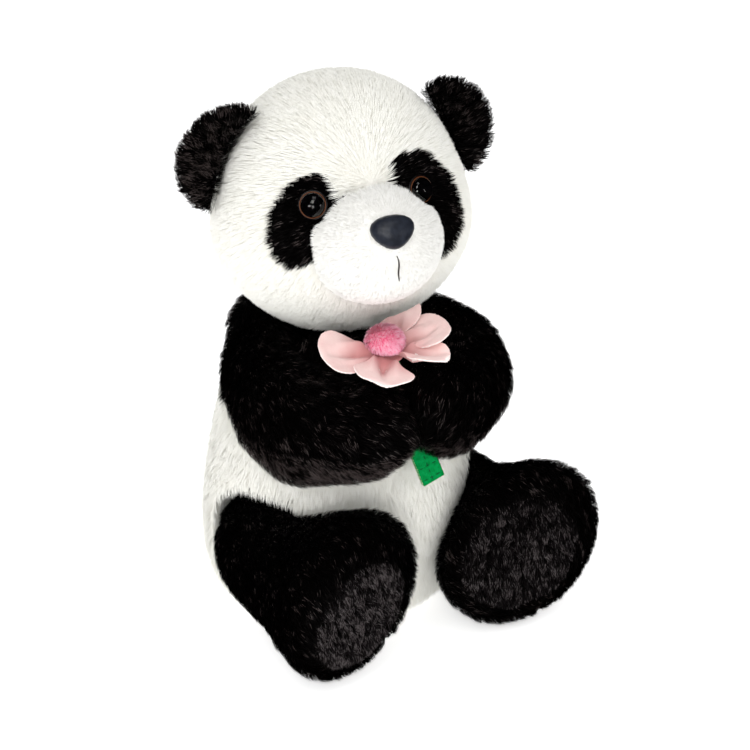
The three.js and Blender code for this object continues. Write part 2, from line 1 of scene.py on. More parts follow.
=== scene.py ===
"""Plush panda holding a cloth flower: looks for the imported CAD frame.

Metres, +Z up, the front towards -Y.
"""

import itertools
import math

import bmesh
import bpy
import numpy as np
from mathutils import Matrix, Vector
from mathutils.bvhtree import BVHTree
from mathutils.kdtree import KDTree


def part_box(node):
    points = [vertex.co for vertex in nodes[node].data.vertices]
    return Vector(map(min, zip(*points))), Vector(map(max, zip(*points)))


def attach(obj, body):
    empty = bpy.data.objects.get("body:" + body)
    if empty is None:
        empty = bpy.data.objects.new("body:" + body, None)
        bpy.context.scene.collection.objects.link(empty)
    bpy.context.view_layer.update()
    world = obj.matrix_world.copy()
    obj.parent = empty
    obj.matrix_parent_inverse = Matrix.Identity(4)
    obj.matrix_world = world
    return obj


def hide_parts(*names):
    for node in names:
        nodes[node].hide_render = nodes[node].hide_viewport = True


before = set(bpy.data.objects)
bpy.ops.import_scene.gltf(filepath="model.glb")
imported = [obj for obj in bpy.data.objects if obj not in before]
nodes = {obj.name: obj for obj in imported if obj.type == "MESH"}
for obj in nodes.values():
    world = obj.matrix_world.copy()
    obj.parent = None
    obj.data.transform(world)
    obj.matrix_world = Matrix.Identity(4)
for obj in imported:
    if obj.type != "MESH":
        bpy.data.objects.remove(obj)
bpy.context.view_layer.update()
scene = bpy.context.scene
MM = 0.001

# ---------------------------------------------------------------- camera, floor and light

AIM = Vector((0, -0.010, 0.125))
AZIMUTH = math.radians(-30)
ELEVATION = math.radians(24)
DISTANCE = 1.3
LENS = 130
SHIFT = (0.04, -0.018)

WHITE = (1, 1, 1)
WARM_WHITE = (1, 0.995, 0.98)
ROOM_RADIUS = 4
FLOOR_GLOW = 0.6
SKY_STRENGTH = 0.82
LIGHTS = {  # azimuth and elevation in degrees, distance and size in metres, power in watts, colour
    "front_light": (-34, 8, 2.2, 0.4, 8, WARM_WHITE),
    "high_light": (-40, 42, 2.0, 0.7, 8, WARM_WHITE),
    "key_light": (-60, 14, 1.9, 0.28, 2.8, WHITE),
    "fill_light": (25, 10, 2.3, 0.5, 2, WHITE),
    "top_light": (-20, 72, 2.0, 0.8, 3, WHITE),
}


def look_from(azimuth, elevation):
    """Unit vector from the aim towards an eye at that azimuth and elevation; azimuth 0 is the front."""
    flat = math.cos(elevation)
    return Vector((math.sin(azimuth) * flat, -math.cos(azimuth) * flat, math.sin(elevation)))


def make_camera():
    data = bpy.data.cameras.new("camera")
    data.lens = LENS
    data.sensor_width = 36
    data.shift_x, data.shift_y = SHIFT
    camera = bpy.data.objects.new("camera", data)
    scene.collection.objects.link(camera)
    back = look_from(AZIMUTH, ELEVATION)
    camera.location = AIM + back * DISTANCE
    camera.rotation_euler = (-back).to_track_quat("-Z", "Y").to_euler()
    scene.camera = camera


def area_light(name, azimuth, elevation, distance, size, power, colour):
    data = bpy.data.lights.new(name, "AREA")
    data.shape = "SQUARE"
    data.size = size
    data.energy = power
    data.color = colour
    light = bpy.data.objects.new(name, data)
    scene.collection.objects.link(light)
    way = look_from(math.radians(azimuth), math.radians(elevation))
    light.location = AIM + way * distance
    light.rotation_euler = (-way).to_track_quat("-Z", "Y").to_euler()


def stage_piece(name, bm, material):
    mesh = mesh_from(name, bm)
    mesh.materials.append(material)
    made = new_object(name, mesh)
    return made


def stage_white(name, colour, roughness, specular, glow):
    """A plain material that shines a little by itself, which keeps the floor and the backdrop white."""
    material = flat_material(name, colour, roughness, specular)
    shader = shader_of(material)
    shader.inputs["Emission Color"].default_value = (*WHITE, 1)
    shader.inputs["Emission Strength"].default_value = glow
    return material


def make_stage():
    """A pale floor, a plain backdrop far behind it on every side, and soft light from the front."""
    floor_white = stage_white("floor_white", (0.93, 0.93, 0.93), 0.9, 0.1, FLOOR_GLOW)
    bm = bmesh.new()
    bmesh.ops.create_circle(bm, cap_ends=True, radius=ROOM_RADIUS, segments=96)
    floor = stage_piece("floor", bm, floor_white)
    floor.location.z = -0.4 * MM
    floor.visible_glossy = False

    wall_white = stage_white("wall_white", (0, 0, 0), 1, 0, 1)
    bm = bmesh.new()
    bmesh.ops.create_uvsphere(bm, u_segments=64, v_segments=32, radius=ROOM_RADIUS)
    wall = stage_piece("wall", bm, wall_white)
    wall.visible_diffuse = False
    wall.visible_glossy = False
    wall.visible_transmission = False
    wall.visible_shadow = False

    world = bpy.data.worlds.new("studio")
    world.use_nodes = True
    background = world.node_tree.nodes["Background"]
    background.inputs["Color"].default_value = (*WHITE, 1)
    background.inputs["Strength"].default_value = SKY_STRENGTH
    scene.world = world
    world.cycles_visibility.glossy = False
    for name, values in LIGHTS.items():
        area_light(name, *values)


# ---------------------------------------------------------------- materials


def shader_of(material):
    return material.node_tree.nodes["Principled BSDF"]


def flat_material(name, colour, roughness=0.6, specular=0.5, sheen=0):
    """A plain Principled material whose numbers all sit on the shader's own sockets."""
    material = bpy.data.materials.new(name)
    material.use_nodes = True
    shader = shader_of(material)
    shader.inputs["Base Color"].default_value = (*colour, 1)
    shader.inputs["Roughness"].default_value = roughness
    shader.inputs["Specular IOR Level"].default_value = specular
    shader.inputs["Sheen Weight"].default_value = sheen
    shader.inputs["Sheen Roughness"].default_value = 0.4
    return material


def noise_at(tree, scale, detail=4):
    """A noise texture in object space, so it stays with the mesh and needs no UV map."""
    place = tree.nodes.new("ShaderNodeTexCoord")
    noise = tree.nodes.new("ShaderNodeTexNoise")
    noise.inputs["Scale"].default_value = scale
    noise.inputs["Detail"].default_value = detail
    noise.inputs["Roughness"].default_value = 0.6
    tree.links.new(place.outputs["Object"], noise.inputs["Vector"])
    return noise


def mottled(material, scale, dark, light, low=0.35, high=0.65):
    """Base colour that wanders between two shades with a noise."""
    tree = material.node_tree
    noise = noise_at(tree, scale)
    ramp = tree.nodes.new("ShaderNodeValToRGB")
    ramp.color_ramp.elements[0].position = low
    ramp.color_ramp.elements[0].color = (*dark, 1)
    ramp.color_ramp.elements[1].position = high
    ramp.color_ramp.elements[1].color = (*light, 1)
    tree.links.new(noise.outputs["Fac"], ramp.inputs["Fac"])
    tree.links.new(ramp.outputs["Color"], shader_of(material).inputs["Base Color"])


def grained(material, scale, strength, distance, detail=4):
    """Fine relief from a noise."""
    tree = material.node_tree
    noise = noise_at(tree, scale, detail)
    bump = tree.nodes.new("ShaderNodeBump")
    bump.inputs["Strength"].default_value = strength
    bump.inputs["Distance"].default_value = distance
    tree.links.new(noise.outputs["Fac"], bump.inputs["Height"])
    tree.links.new(bump.outputs["Normal"], shader_of(material).inputs["Normal"])


def backing(name, colour):
    """Knitted backing under the pile."""
    material = flat_material(name, colour, roughness=0.9, specular=0.02)
    grained(material, 900, 0.3, 0.0004)
    return material


def pile(name, shades, roughness, gloss, sheen):
    """One material for each shade of a pile, from the root's shade to the palest and glossiest tip; each tip
    is one shade paler than its root, as painted shade down in the pile.
    """
    return [
        flat_material(f"{name}_{number}", shade, roughness, specular, sheen)
        for number, (shade, specular) in enumerate(zip(shades, gloss), 1)
    ]


WHITE_SHADES = [(0.90, 0.89, 0.83), (0.92, 0.915, 0.86), (0.94, 0.935, 0.885), (0.955, 0.95, 0.91)]
MUZZLE_SHADES = [(0.875, 0.87, 0.835), (0.89, 0.885, 0.855), (0.905, 0.90, 0.87), (0.915, 0.91, 0.885)]
# In the black and sole piles the palest shade, on a few tips only, is partly lighter strands and partly
# painted sheen.
BLACK_SHADES = [
    (0.0008, 0.0006, 0.0006),
    (0.0012, 0.0009, 0.0009),
    (0.004, 0.003, 0.003),
    (0.060, 0.044, 0.042),
]
SOLE_SHADES = [
    (0.0010, 0.0008, 0.0008),
    (0.003, 0.0024, 0.0025),
    (0.010, 0.008, 0.0085),
    (0.075, 0.061, 0.062),
]
PINK_SHADES = [(1.0, 0.26, 0.42), (1.0, 0.36, 0.52), (1.0, 0.48, 0.63), (1.0, 0.62, 0.73)]
PALE_GLOSS = (0.08, 0.12, 0.16, 0.2)
DARK_GLOSS = (0.01, 0.02, 0.08, 0.5)

PILES = {
    "white_plush": pile("white_pile", WHITE_SHADES, 0.75, PALE_GLOSS, 0.1),
    "muzzle_plush": pile("muzzle_pile", MUZZLE_SHADES, 0.75, PALE_GLOSS, 0.1),
    "black_plush": pile("black_pile", BLACK_SHADES, 0.42, DARK_GLOSS, 0),
    "sole_plush": pile("sole_pile", SOLE_SHADES, 0.45, DARK_GLOSS, 0),
    "centre_plush": pile("pink_pile", PINK_SHADES, 0.6, PALE_GLOSS, 0.3),
}
BACKINGS = {
    "white_plush": backing("white_backing", (0.92, 0.90, 0.85)),
    "muzzle_plush": backing("muzzle_backing", (0.94, 0.93, 0.90)),
    "black_plush": backing("black_backing", (0.0008, 0.0006, 0.0006)),
    "sole_plush": backing("sole_backing", (0.001, 0.0009, 0.0009)),
    "centre_plush": backing("pink_backing", (0.90, 0.14, 0.28)),
}

# ---------------------------------------------------------------- mesh helpers

SAME_POINT = 1e-5
SIM_FRAMES = 20


def coordinates(mesh):
    co = np.zeros(len(mesh.vertices) * 3)
    mesh.vertices.foreach_get("co", co)
    return co.reshape(-1, 3)


def normals_of(mesh):
    way = np.zeros(len(mesh.vertices) * 3)
    mesh.vertex_normals.foreach_get("vector", way)
    return way.reshape(-1, 3)


def set_coordinates(mesh, co):
    mesh.vertices.foreach_set("co", np.asarray(co, float).ravel())
    mesh.update()


def unit(v):
    return v / (np.linalg.norm(v, axis=-1, keepdims=True) + 1e-12)


def face_vectors(mesh, kind):
    """Each polygon's centre or normal, for kind "center" or "normal"."""
    values = np.zeros(len(mesh.polygons) * 3)
    mesh.polygons.foreach_get(kind, values)
    return values.reshape(-1, 3)


def own_axes(co):
    """The three main directions of a cloud of points as columns, from the thinnest to the longest."""
    return np.linalg.eigh(np.cov((co - co.mean(axis=0)).T))[1]


def mesh_from(name, bm):
    mesh = bpy.data.meshes.new(name)
    bm.to_mesh(mesh)
    bm.free()
    return mesh


def coloured(made, *materials):
    """Gives the object these materials and no others."""
    made.data.materials.clear()
    for material in materials:
        made.data.materials.append(material)


def new_object(name, mesh):
    made = bpy.data.objects.new(name, mesh)
    scene.collection.objects.link(made)
    return made


def copied(name, sources):
    """One new object from CAD nodes, with the coinciding corners of each merged."""
    bm = bmesh.new()
    for source in sources:
        bm.from_mesh(nodes[source].data)
    bmesh.ops.remove_doubles(bm, verts=bm.verts, dist=SAME_POINT)
    return new_object(name, mesh_from(name, bm))


def applied(made):
    """Replaces the object's mesh by what its modifiers make of it."""
    graph = bpy.context.evaluated_depsgraph_get()
    mesh = bpy.data.meshes.new_from_object(made.evaluated_get(graph))
    made.modifiers.clear()
    made.data = mesh
    mesh.name = made.name


def remeshed(made, voxel):
    modifier = made.modifiers.new("Remesh", "REMESH")
    modifier.mode = "VOXEL"
    modifier.voxel_size = voxel
    modifier.use_smooth_shade = True
    applied(made)
    keep_largest(made.data)


def keep_largest(mesh):
    """Removes the closed bubbles that the remesh leaves between a panel and its stuffing."""
    bm = bmesh.new()
    bm.from_mesh(mesh)
    islands = []
    seen = set()
    for start in bm.verts:
        if start in seen:
            continue
        seen.add(start)
        island = [start]
        for vertex in island:
            for edge in vertex.link_edges:
                other = edge.other_vert(vertex)
                if other not in seen:
                    seen.add(other)
                    island.append(other)
        islands.append(island)
    islands.sort(key=len)
    for island in islands[:-1]:
        bmesh.ops.delete(bm, geom=island, context="VERTS")
    bm.to_mesh(mesh)
    bm.free()


def smoothed(made, times):
    modifier = made.modifiers.new("Smooth", "SMOOTH")
    modifier.factor = 0.5
    modifier.iterations = times
    applied(made)


def subdivided(made):
    modifier = made.modifiers.new("Subdivision", "SUBSURF")
    modifier.levels = 1
    modifier.render_levels = 1
    applied(made)
    made.data.shade_smooth()


def inflated(made, most):
    """Lets cloth pressure fill the skin. No point moves more than `most`."""
    before = coordinates(made.data)
    modifier = made.modifiers.new("Cloth", "CLOTH")
    modifier.settings.quality = 4
    modifier.settings.mass = 0.2
    modifier.settings.use_pressure = True
    modifier.settings.uniform_pressure_force = 4
    modifier.settings.effector_weights.gravity = 0
    modifier.collision_settings.use_collision = False
    for number in range(1, SIM_FRAMES + 1):
        scene.frame_set(number)
    graph = bpy.context.evaluated_depsgraph_get()
    swollen = made.evaluated_get(graph).to_mesh()
    after = coordinates(swollen)
    made.evaluated_get(graph).to_mesh_clear()
    made.modifiers.clear()
    scene.frame_set(1)
    moved = after - before
    far = np.linalg.norm(moved, axis=1, keepdims=True)
    moved *= np.minimum(1, most / np.maximum(far, 1e-9))
    set_coordinates(made.data, before + moved)


def corners(names):
    """All the vertices of some CAD nodes."""
    return np.concatenate([coordinates(nodes[name].data) for name in names])


def tree_of(name):
    mesh = nodes[name].data
    return BVHTree.FromPolygons(
        [tuple(v.co) for v in mesh.vertices],
        [tuple(p.vertices) for p in mesh.polygons],
    )


# ---------------------------------------------------------------- skins

# How far the black of each eye patch runs past the CAD's seam.
PATCH_GROWTH = {"eye_patch_right": -0.0006, "eye_patch_left": 0.0008}
LOWEST_SKIN = 0.1 * MM
LOWEST_PILE = 0.2 * MM


class Skin:
    """A closed stuffed skin with its triangles, and the CAD panel that each triangle belongs to."""

    def __init__(self, name, body, slots, inner, *, inset, voxel, swell):
        """slots gives each CAD panel's slot. The skin's own is the first one, and inner is its stuffing."""
        self.body = body
        self.panels = list(slots)
        made = copied(name, [*slots, *inner])
        remeshed(made, voxel)
        smoothed(made, 4)
        set_coordinates(made.data, coordinates(made.data) - normals_of(made.data) * inset)
        smoothed(made, 3)
        inflated(made, swell)
        smoothed(made, 2)
        subdivided(made)
        co = coordinates(made.data)
        co[:, 2] = np.maximum(co[:, 2], LOWEST_SKIN)
        set_coordinates(made.data, co)
        self.made = made
        self.read()
        self.paint(slots)
        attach(made, body)
        if inner:
            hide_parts(*inner)

    def read(self):
        mesh = self.made.data
        mesh.calc_loop_triangles()
        self.co = coordinates(mesh)
        self.normal = normals_of(mesh)
        triangles = np.zeros(len(mesh.loop_triangles) * 3, int)
        mesh.loop_triangles.foreach_get("vertices", triangles)
        self.triangles = triangles.reshape(-1, 3)
        owner = np.zeros(len(mesh.loop_triangles), int)
        mesh.loop_triangles.foreach_get("polygon_index", owner)
        trees = [(tree_of(panel), PATCH_GROWTH.get(panel, 0)) for panel in self.panels]
        zone = []
        for centre in face_vectors(mesh, "center"):
            gaps = [tree.find_nearest(Vector(centre))[3] - growth for tree, growth in trees]
            zone.append(int(np.argmin(gaps)))
        self.face_zone = np.array(zone)
        self.zone = self.face_zone[owner]
        self.seam = self.seam_points()

    def seam_points(self):
        """The middles of the triangle edges that lie between two different panels."""
        sides = [self.triangles[:, pair] for pair in ([0, 1], [1, 2], [2, 0])]
        ends = np.concatenate(sides)
        ends.sort(axis=1)
        beside = np.tile(self.zone, 3)
        order = np.lexsort((ends[:, 1], ends[:, 0]))
        ends, beside = ends[order], beside[order]
        seam = (ends[1:] == ends[:-1]).all(axis=1) & (beside[1:] != beside[:-1])
        return self.co[ends[1:][seam]].mean(axis=1)

    def paint(self, slots):
        mesh = self.made.data
        mesh.materials.clear()
        kinds = sorted(set(slots.values()))
        for kind in kinds:
            mesh.materials.append(BACKINGS[kind])
        index = np.array([kinds.index(slots[panel]) for panel in self.panels])
        mesh.polygons.foreach_set("material_index", index[self.face_zone].astype(np.int32))
        mesh.update()


# ---------------------------------------------------------------- pile


def rotated(v, axis, angle):
    """Each row of v turned about the matching axis."""
    c = np.cos(angle)[:, None]
    s = np.sin(angle)[:, None]
    along = np.sum(v * axis, axis=1, keepdims=True)
    return v * c + np.cross(axis, v) * s + axis * along * (1 - c)


def nearest(points, others):
    """The number of the nearest of the others for each point, and how far away it is."""
    tree = KDTree(len(others))
    for number, place in enumerate(others):
        tree.insert(place, number)
    tree.balance()
    found = [tree.find(point) for point in points]
    return np.array([each[1] for each in found]), np.array([each[2] for each in found])


PILE_SEEDS = itertools.count(21)
SHORTEST, SPREAD = 0.78, 0.44  # a strand's least share of the length, and the range above it
AT_GAP = 0.3  # share of the length beside an eye, the nose or the mouth
AT_SEAM = 0.35  # share of the length at a seam
TURN_OF_TUFT, TURN_OF_STRAND, TWIST = 0.22, 0.18, 0.35  # radians, one standard deviation
LEAN_OF_TUFT, LEAN_OF_FOOT, LEAN_OF_TIP = 0.07, 0.1, 0.12  # the same
SHADE_OF_TUFT, SHADE_OF_STRAND, MIDDLE_SHADE = 0.45, 0.6, 0.9  # in steps from one shade to the next
BLADE_POINTS = 5
BLADE_LOOPS = [0, 1, 2, 3, 3, 2, 4]  # a quad from the root to the middle, then a triangle to the tip
BLADE_FACES = [0, 4]


def scattered(rng, skin, zones, per_cm2):
    """Random roots on some panels of a skin, with the way out of the skin at each."""
    chosen = np.isin(skin.zone, [skin.panels.index(zone) for zone in zones])
    triangles = skin.triangles[chosen]
    a, b, c = (skin.co[triangles[:, k]] for k in range(3))
    area = np.linalg.norm(np.cross(b - a, c - a), axis=1) / 2
    count = int(area.sum() * 1e4 * per_cm2)
    face = rng.choice(len(triangles), size=count, p=area / area.sum())
    u = np.sqrt(rng.random(count))
    v = rng.random(count)
    weight = np.stack([1 - u, u * (1 - v), u * v], axis=1)[:, :, None]
    root = (skin.co[triangles[face]] * weight).sum(axis=1)
    normal = unit((skin.normal[triangles[face]] * weight).sum(axis=1))
    return root, normal


def trimmed(rng, root, length, clear, seam, seams):
    """Each strand's length, and whether a strand stands at each root."""
    size = length * (SHORTEST + SPREAD * rng.random(len(root)))
    kept = np.ones(len(root), bool)
    for points, gap, reach in clear:
        away = nearest(root, points)[1]
        kept &= away > gap
        size *= AT_GAP + (1 - AT_GAP) * np.clip((away - gap) / max(reach, 1e-6), 0, 1)
    if seams and len(seam):
        size *= AT_SEAM + (1 - AT_SEAM) * np.clip(nearest(root, seam)[1] / seams, 0, 1)
    return size, kept


def blades(name, strands, shades, low):
    """A mesh of blades from their five points each. low is the shade of each blade's lower half, one step
    darker than its upper half: painted shade towards the roots.
    """
    count = len(strands)
    number = np.arange(count)[:, None]
    loops = number * BLADE_POINTS + np.array([BLADE_LOOPS])
    begin = number * len(BLADE_LOOPS) + np.array([BLADE_FACES])
    mesh = bpy.data.meshes.new(name)
    mesh.vertices.add(count * BLADE_POINTS)
    mesh.vertices.foreach_set("co", strands.ravel())
    mesh.loops.add(loops.size)
    mesh.loops.foreach_set("vertex_index", loops.ravel().astype(np.int32))
    mesh.polygons.add(begin.size)
    mesh.polygons.foreach_set("loop_start", begin.ravel().astype(np.int32))
    # Painted shade: the lower half of each blade is one shade darker than its tip.
    mesh.polygons.foreach_set("material_index", np.stack([low, low + 1], axis=1).ravel().astype(np.int32))
    mesh.polygons.foreach_set("use_smooth", np.ones(begin.size, bool))
    for shade in shades:
        mesh.materials.append(shade)
    mesh.update(calc_edges=True)
    return mesh


def grow(name, skin, zones, slot, comb, *, length, per_cm2, lean=(42, 76), width=0.32, clump=0.3,
         tuft=22, mess=1.0, clear=(), seams=0.0, shade_shift=0.0, soft=0.0):
    """Combed pile as real strands, each a flat tapering blade of one quad and one triangle.

    comb gives the direction that the pile lies in at each root, and lean how far from upright a strand's
    foot and tip lie, in degrees. tuft is the number of strands in a tuft, clump how far they draw together,
    and mess how untidy they are. clear lists (points, gap, reach): no strand grows within gap of the
    points, and it grows from short to full over the reach beyond. seams is how far from a seam the pile is
    pressed short, and soft is how much the strands are shaded as the skin under them.
    """
    rng = np.random.default_rng(next(PILE_SEEDS))
    root, normal = scattered(rng, skin, zones, per_cm2)
    size, kept = trimmed(rng, root, length, clear, skin.seam, seams)
    root, normal, size = root[kept], normal[kept], size[kept]
    count = len(root)

    way = unit(comb(root, normal))
    way = unit(way - normal * np.sum(way * normal, axis=1, keepdims=True))

    heads = rng.choice(count, size=max(count // tuft, 4), replace=False)
    group = nearest(root, root[heads])[0]
    turn_of_group = rng.normal(0, TURN_OF_TUFT * mess, len(heads))
    lean_of_group = rng.normal(0, LEAN_OF_TUFT * mess, len(heads))
    shade_of_group = rng.normal(0, SHADE_OF_TUFT, len(heads))

    way = rotated(way, normal, turn_of_group[group] + rng.normal(0, TURN_OF_STRAND * mess, count))
    first = np.radians(lean[0]) + lean_of_group[group] + rng.normal(0, LEAN_OF_FOOT * mess, count)
    last = np.radians(lean[1]) + lean_of_group[group] + rng.normal(0, LEAN_OF_TIP * mess, count)
    lower = normal * np.cos(first)[:, None] + way * np.sin(first)[:, None]
    upper = normal * np.cos(last)[:, None] + way * np.sin(last)[:, None]
    middle = root + lower * size[:, None] * 0.5
    tip = middle + upper * size[:, None] * 0.5

    pull = (clump * (0.5 + 0.5 * rng.random(count)))[:, None]
    head_tip = tip[heads][group]
    head_middle = middle[heads][group]
    middle = middle + (head_middle - middle) * pull * 0.35
    tip = tip + (head_tip - tip) * pull

    along = unit(tip - root)
    side = unit(np.cross(along, normal))
    side = rotated(side, along, rng.normal(0, TWIST, count))
    half = (width * MM * 0.5 * (0.8 + 0.4 * rng.random(count)))[:, None]
    inner = side * half * 0.85
    strands = np.stack([root - side * half, root + side * half, middle + inner, middle - inner, tip], axis=1)
    strands[:, :, 2] = np.maximum(strands[:, :, 2], LOWEST_PILE)

    shades = PILES[slot]
    # shade_shift moves strands towards the pale, glossy tip shades: painted sheen, set high on the panels
    # and sides that face the light and low elsewhere.
    level = shade_of_group[group] + rng.normal(0, SHADE_OF_STRAND, count) + MIDDLE_SHADE + shade_shift
    low = np.clip(np.round(level), 0, len(shades) - 2)
    mesh = blades(name, strands, shades, low)
    if soft:
        skyward = np.repeat(normal, BLADE_POINTS, axis=0) * soft + normals_of(mesh) * (1 - soft)
        mesh.normals_split_custom_set_from_vertices(unit(skyward))
    made = new_object(name, mesh)
    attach(made, skin.body)
    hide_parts(*zones)


def towards(direction):
    """Combed the same way everywhere."""
    fixed = np.array(direction, float)
    return lambda root, normal: np.broadcast_to(fixed, root.shape)


def away_from(centre, pull=(0, 0, 0)):
    """Combed outwards from a centre, with a constant pull added."""
    middle = np.array(centre, float)
    drift = np.array(pull, float)
    return lambda root, normal: unit(root - middle) + drift


def along_path(points, pull):
    """Combed along a path, mostly as its nearest stretch runs, with a constant pull added."""
    stops = np.array(points, float)
    drift = np.array(pull, float)

    def comb(root, normal):
        starts, ends = stops[:-1], stops[1:]
        middles = (starts + ends) / 2
        gap = np.linalg.norm(root[:, None, :] - middles[None], axis=2)
        share = 1 / gap ** 4
        share /= share.sum(axis=1, keepdims=True)
        return unit(share @ unit(ends - starts)) + drift

    return comb


# ---------------------------------------------------------------- head

FACE = corners(["nose"]).mean(axis=0)
BRIDGE = FACE + np.array([0, 0.004, 0.016])  # between the eyes, where the head's comb starts
EYE_PARTS = ["eye_plate_right", "eye_plate_left", "eye_dome_right", "eye_dome_left"]
NOSE_CLEAR = (corners(["nose"]), 0.0006, 0.006)
MOUTH_CLEAR = (corners(["mouth_stitch"]), 0.0006, 0.004)
EYES_CLEAR = (corners(EYE_PARTS), 0.0012, 0.006)
SIDES = {"right": -1, "left": 1}
DOWN = (0, 0, -1)


def make_head():
    slots = {
        "head_gusset": "white_plush",
        "cheek_right": "white_plush",
        "cheek_left": "white_plush",
        "eye_patch_right": "black_plush",
        "eye_patch_left": "black_plush",
    }
    looks = {
        "white_plush": dict(length=0.0060, per_cm2=230, lean=(54, 81), width=0.28, clump=0.07, mess=0.28,
                            soft=0.9),
        "black_plush": dict(length=0.0052, per_cm2=290, width=0.26, clump=0.2, mess=0.7, seams=0.0012,
                            shade_shift=-0.7),
    }
    skin = Skin("head_skin", "head", slots, ["head_stuffing"], inset=0.0014, voxel=0.004, swell=0.002)
    comb = away_from(BRIDGE, (0, 0.25, -0.35))
    for panel, slot in slots.items():
        grow(f"{panel}_pile", skin, [panel], slot, comb, clear=[EYES_CLEAR], **looks[slot])

    muzzle = Skin("muzzle_skin", "head", {"muzzle": "muzzle_plush"}, ["muzzle_stuffing"],
                  inset=0.0012, voxel=0.003, swell=0.0012)
    grow("muzzle_pile", muzzle, ["muzzle"], "muzzle_plush", away_from(FACE, (0, 0.3, -0.25)),
         length=0.0032, per_cm2=330, lean=(40, 74), width=0.26, clump=0.12, mess=0.5,
         clear=[NOSE_CLEAR, MOUTH_CLEAR], soft=0.9)


def make_ears():
    # Painted sheen: the right ear gets more pale glossy tips than the left.
    shift = {"right": 0.2, "left": -0.3}
    for side, sign in SIDES.items():
        slots = {f"ear_{side}_{half}": "black_plush" for half in ("front", "back")}
        skin = Skin(f"ear_{side}_skin", f"ear_{side}", slots, [], inset=0.0008, voxel=0.002, swell=0.0008)
        lowest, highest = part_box(f"ear_{side}_front")
        middle = (np.array(lowest) + np.array(highest)) / 2
        foot = middle + np.array([-sign * 0.018, 0, -0.020])
        for panel, slot in slots.items():
            grow(f"{panel}_pile", skin, [panel], slot, away_from(foot), length=0.0054, per_cm2=260,
                 width=0.26, shade_shift=shift[side])


# ---------------------------------------------------------------- body and limbs


def make_torso():
    slots = {
        "seat_panel": "white_plush",
        "belly_panel": "white_plush",
        "back_panel_right": "white_plush",
        "back_panel_left": "white_plush",
        "yoke_front": "black_plush",
        "yoke_back": "black_plush",
    }
    looks = {
        "white_plush": dict(length=0.0064, per_cm2=190, width=0.3, clump=0.15, mess=0.5, soft=0.9),
        "black_plush": dict(length=0.0064, per_cm2=190, width=0.3, shade_shift=-0.6),
    }
    pressed = dict(looks["white_plush"], length=0.004, per_cm2=60)
    skin = Skin("torso_skin", "torso", slots, ["torso_stuffing", "pellet_pouch"],
                inset=0.0012, voxel=0.005, swell=0.0025)
    for panel, slot in slots.items():
        if panel == "seat_panel":
            grow(f"{panel}_pile", skin, [panel], slot, away_from((0, 0, 0)), **pressed)
        else:
            grow(f"{panel}_pile", skin, [panel], slot, towards(DOWN), **looks[slot])


def make_tail():
    tail = Skin("tail_skin", "torso", {"tail": "white_plush"}, [], inset=0.0025, voxel=0.003, swell=0.001)
    grow("tail_pile", tail, ["tail"], "white_plush", away_from((0, 0.045, 0.05)),
         length=0.0064, per_cm2=220, clump=0.15, mess=0.6, soft=0.8)


def make_neck_ring():
    ring = Skin("neck_ring_skin", "neck", {"neck_ring": "black_plush"}, [],
                inset=0.0003, voxel=0.0015, swell=0.0003)
    grow("neck_ring_pile", ring, ["neck_ring"], "black_plush", towards(DOWN),
         length=0.0015, per_cm2=60, width=0.3)


def make_arms():
    # Painted sheen: the under panels get many pale glossy tips, where light catches them, and the upper
    # panels few.
    shift = {"upper": -0.6, "under": 1.0}
    for side, sign in SIDES.items():
        slots = {f"arm_{side}_{half}": "black_plush" for half in shift}
        skin = Skin(f"arm_{side}_skin", f"arm_{side}", slots, [f"arm_{side}_stuffing"],
                    inset=0.0022, voxel=0.004, swell=0.002)
        shoulder = (sign * 0.039, 0.02, 0.133)
        elbow = (sign * 0.046, -0.03, 0.127)
        wrist = (sign * 0.031, -0.062, 0.119)
        paw = (0, -0.085, 0.116)
        comb = along_path([shoulder, elbow, wrist, paw], (0, 0, -0.55))
        for half in shift:
            panel = f"arm_{side}_{half}"
            grow(f"{panel}_pile", skin, [panel], "black_plush", comb, length=0.0062, per_cm2=210,
                 width=0.28, seams=0.003, shade_shift=shift[half])


FEET = {"right": (-0.046, -0.098, 0.0365), "left": (0.054, -0.083, 0.037)}
HIPS = {"right": (-0.047, -0.02, 0.042), "left": (0.05, -0.018, 0.04)}
SOLE_COMB = {"right": (0.25, 0, -1), "left": (-0.1, 0, -1)}
# Painted sheen: the right sole gets more pale glossy tips than the left.
SOLE_PAINTED_SHEEN = {"right": 0.35, "left": 0}


def make_legs():
    for side in SIDES:
        upper, under, sole = f"leg_{side}_upper", f"leg_{side}_under", f"sole_{side}"
        slots = {upper: "black_plush", under: "black_plush", sole: "sole_plush"}
        skin = Skin(f"leg_{side}_skin", f"leg_{side}", slots, [f"leg_{side}_stuffing"],
                    inset=0.0022, voxel=0.004, swell=0.002)
        knee = tuple((np.array(HIPS[side]) + np.array(FEET[side])) / 2)
        comb = along_path([HIPS[side], knee, FEET[side]], (0, 0, -0.25))
        for panel in (upper, under):
            grow(f"{panel}_pile", skin, [panel], "black_plush", comb, length=0.0054, per_cm2=220,
                 width=0.28, seams=0.003, shade_shift=-0.7)
        grow(f"{sole}_pile", skin, [sole], "sole_plush", towards(SOLE_COMB[side]), length=0.0038,
             per_cm2=280, lean=(36, 70), width=0.28, mess=1.2, seams=0.003, shade_shift=SOLE_PAINTED_SHEEN[side])


# ---------------------------------------------------------------- eyes, nose and mouth


